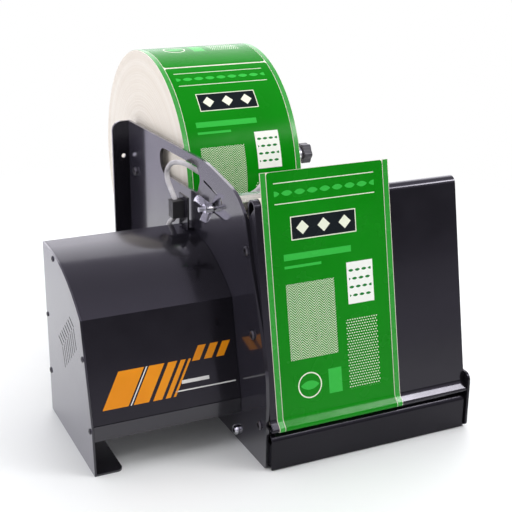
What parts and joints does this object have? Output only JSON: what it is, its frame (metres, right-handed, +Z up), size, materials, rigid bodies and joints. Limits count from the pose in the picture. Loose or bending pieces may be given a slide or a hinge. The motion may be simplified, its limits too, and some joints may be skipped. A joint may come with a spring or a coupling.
{
  "type": "label dispenser machine",
  "caption": "Motor-driven desk label dispenser: a label roll on a rear axle feeds over a leaning slide that peels each label, with liner take-up and a presence sensor.",
  "frame": {"origin": "centre of the bounding box's base, on the surface that the machine stands on", "axes": "+X right along the rollers, from the motor housing to the slide's free end; +Y to the rear, from the slide to the label roll; +Z up"},
  "size_m": [0.3752, 0.4976, 0.3385],
  "materials": {
    "black_paint": "gloss powder coat",
    "black_plastic": "satin",
    "black_rubber": "matte",
    "steel": "satin zinc",
    "brass": "sintered",
    "aluminium": "satin",
    "label_stock": "printed gloss film on a paper liner",
    "liner": "smooth paper",
    "cardboard": "matte board",
    "cable_grey": "satin",
    "board_green": "satin",
    "red_plastic": "gloss"
  },
  "bodies": {
    "chassis": {"main_plate": "black_paint", "slide_plate": "black_paint", "base_pan": "black_paint", "right_plate": "black_paint", "slide_screw_upper": "black_paint", "slide_screw_middle": "black_paint", "slide_screw_lower": "black_paint", "housing_end_plate": "black_paint", "housing_cover": "black_paint", "housing_base": "black_paint", "housing_back": "black_paint", "cable_bracket": "black_paint", "motor": "black_paint", "power_inlet": "black_plastic", "switch_frame": "black_plastic", "cable_clamp": "black_plastic", "cable_gland": "black_plastic", "foot_strip_front": "black_rubber", "foot_strip_rear": "black_rubber", "takeup_belt": "black_rubber", "axle_screw": "steel", "base_bolt": "steel", "cover_screw_upper": "steel", "cover_screw_middle": "steel", "cover_screw_lower": "steel", "back_screw_upper": "steel", "back_screw_lower": "steel", "motor_bracket": "steel", "gearbox": "steel", "liner_rod": "steel", "supply_axle": "steel", "pinch_spring": "steel", "rear_rod": "steel", "drive_bush": "brass", "takeup_bush": "brass", "power_supply": "aluminium", "label_web": "label_stock", "waste_liner": "liner", "sensor_cable": "cable_grey", "circuit_board": "board_green"},
    "sensor": {"sensor_arm": "steel", "sensor_head": "black_plastic"},
    "wing": {"wing_nut": "steel"},
    "drive": {"drive_shaft": "steel", "drive_roller": "black_rubber", "drive_pulley": "aluminium"},
    "takeup": {"takeup_shaft": "steel", "takeup_pulley": "aluminium", "waste_roll": "liner"},
    "pinch_arm": {"pinch_arm": "steel"},
    "pinch_roller": {"pinch_roller": "black_rubber"},
    "guide": {"guide_roller": "aluminium"},
    "supply": {"roll_core": "cardboard", "label_roll": "label_stock", "roll_hub": "black_plastic"},
    "disc": {"outer_disc": "black_plastic"},
    "knob": {"star_knob": "black_plastic"},
    "rocker": {"rocker": "red_plastic"},
    "speed": {"speed_knob": "black_plastic"},
    "button": {"feed_button": "red_plastic"}
  },
  "joints": [
    {"name": "drive_turn", "type": "hinge", "parent": "chassis", "child": "drive", "pos_m": [-0.0329, -0.1057, 0.124], "axis": [-1, 0, 0], "continuous": true},
    {"name": "takeup_turn", "type": "hinge", "parent": "chassis", "child": "takeup", "pos_m": [-0.0329, -0.0682, 0.074], "axis": [-1, 0, 0], "continuous": true},
    {"name": "supply_turn", "type": "hinge", "parent": "chassis", "child": "supply", "pos_m": [-0.0264, 0.1118, 0.2015], "axis": [-1, 0, 0], "continuous": true},
    {"name": "disc_slide", "type": "slide", "parent": "supply", "child": "disc", "axis": [1, 0, 0], "range_m": [0, 0.05]},
    {"name": "guide_turn", "type": "hinge", "parent": "chassis", "child": "guide", "pos_m": [-0.0329, 0.1258, 0.024], "axis": [-1, 0, 0], "continuous": true},
    {"name": "pinch_swing", "type": "hinge", "parent": "chassis", "child": "pinch_arm", "pos_m": [-0.0364, -0.0962, 0.16], "axis": [1, 0, 0], "range_deg": [0, 20], "stiffness_Nm_per_rad": 1, "springref_deg": -22.92},
    {"name": "pinch_turn", "type": "hinge", "parent": "pinch_arm", "child": "pinch_roller", "pos_m": [-0.0364, -0.0822, 0.124], "axis": [1, 0, 0], "continuous": true},
    {"name": "sensor_slide", "type": "slide", "parent": "chassis", "child": "sensor", "axis": [0, -0.8572, 0.515], "range_m": [0, 0.02]},
    {"name": "wing_turn", "type": "hinge", "parent": "sensor", "child": "wing", "pos_m": [-0.0364, -0.1127, 0.2205], "axis": [-1, 0, 0], "continuous": true},
    {"name": "knob_turn", "type": "hinge", "parent": "chassis", "child": "knob", "pos_m": [0.1751, 0.1118, 0.2015], "axis": [1, 0, 0], "continuous": true},
    {"name": "rocker_tip", "type": "hinge", "parent": "chassis", "child": "rocker", "pos_m": [-0.1134, -0.0365, 0.062], "axis": [1, 0, 0], "range_deg": [-8, 8]},
    {"name": "speed_turn", "type": "hinge", "parent": "chassis", "child": "speed", "pos_m": [-0.1444, -0.0389, 0.128], "axis": [0, 1, 0], "range_deg": [0, 270]},
    {"name": "button_press", "type": "slide", "parent": "chassis", "child": "button", "axis": [0, -1, 0], "range_m": [0, 0.0025], "stiffness_N_per_m": 400}
  ],
  "couplings": [
    {"joint": "drive_turn", "follows": "supply_turn", "ratio": 10.96},
    {"joint": "takeup_turn", "follows": "supply_turn", "ratio": 3.6533},
    {"joint": "guide_turn", "follows": "supply_turn", "ratio": 17.125},
    {"joint": "pinch_turn", "follows": "supply_turn", "ratio": 13.7}
  ]
}
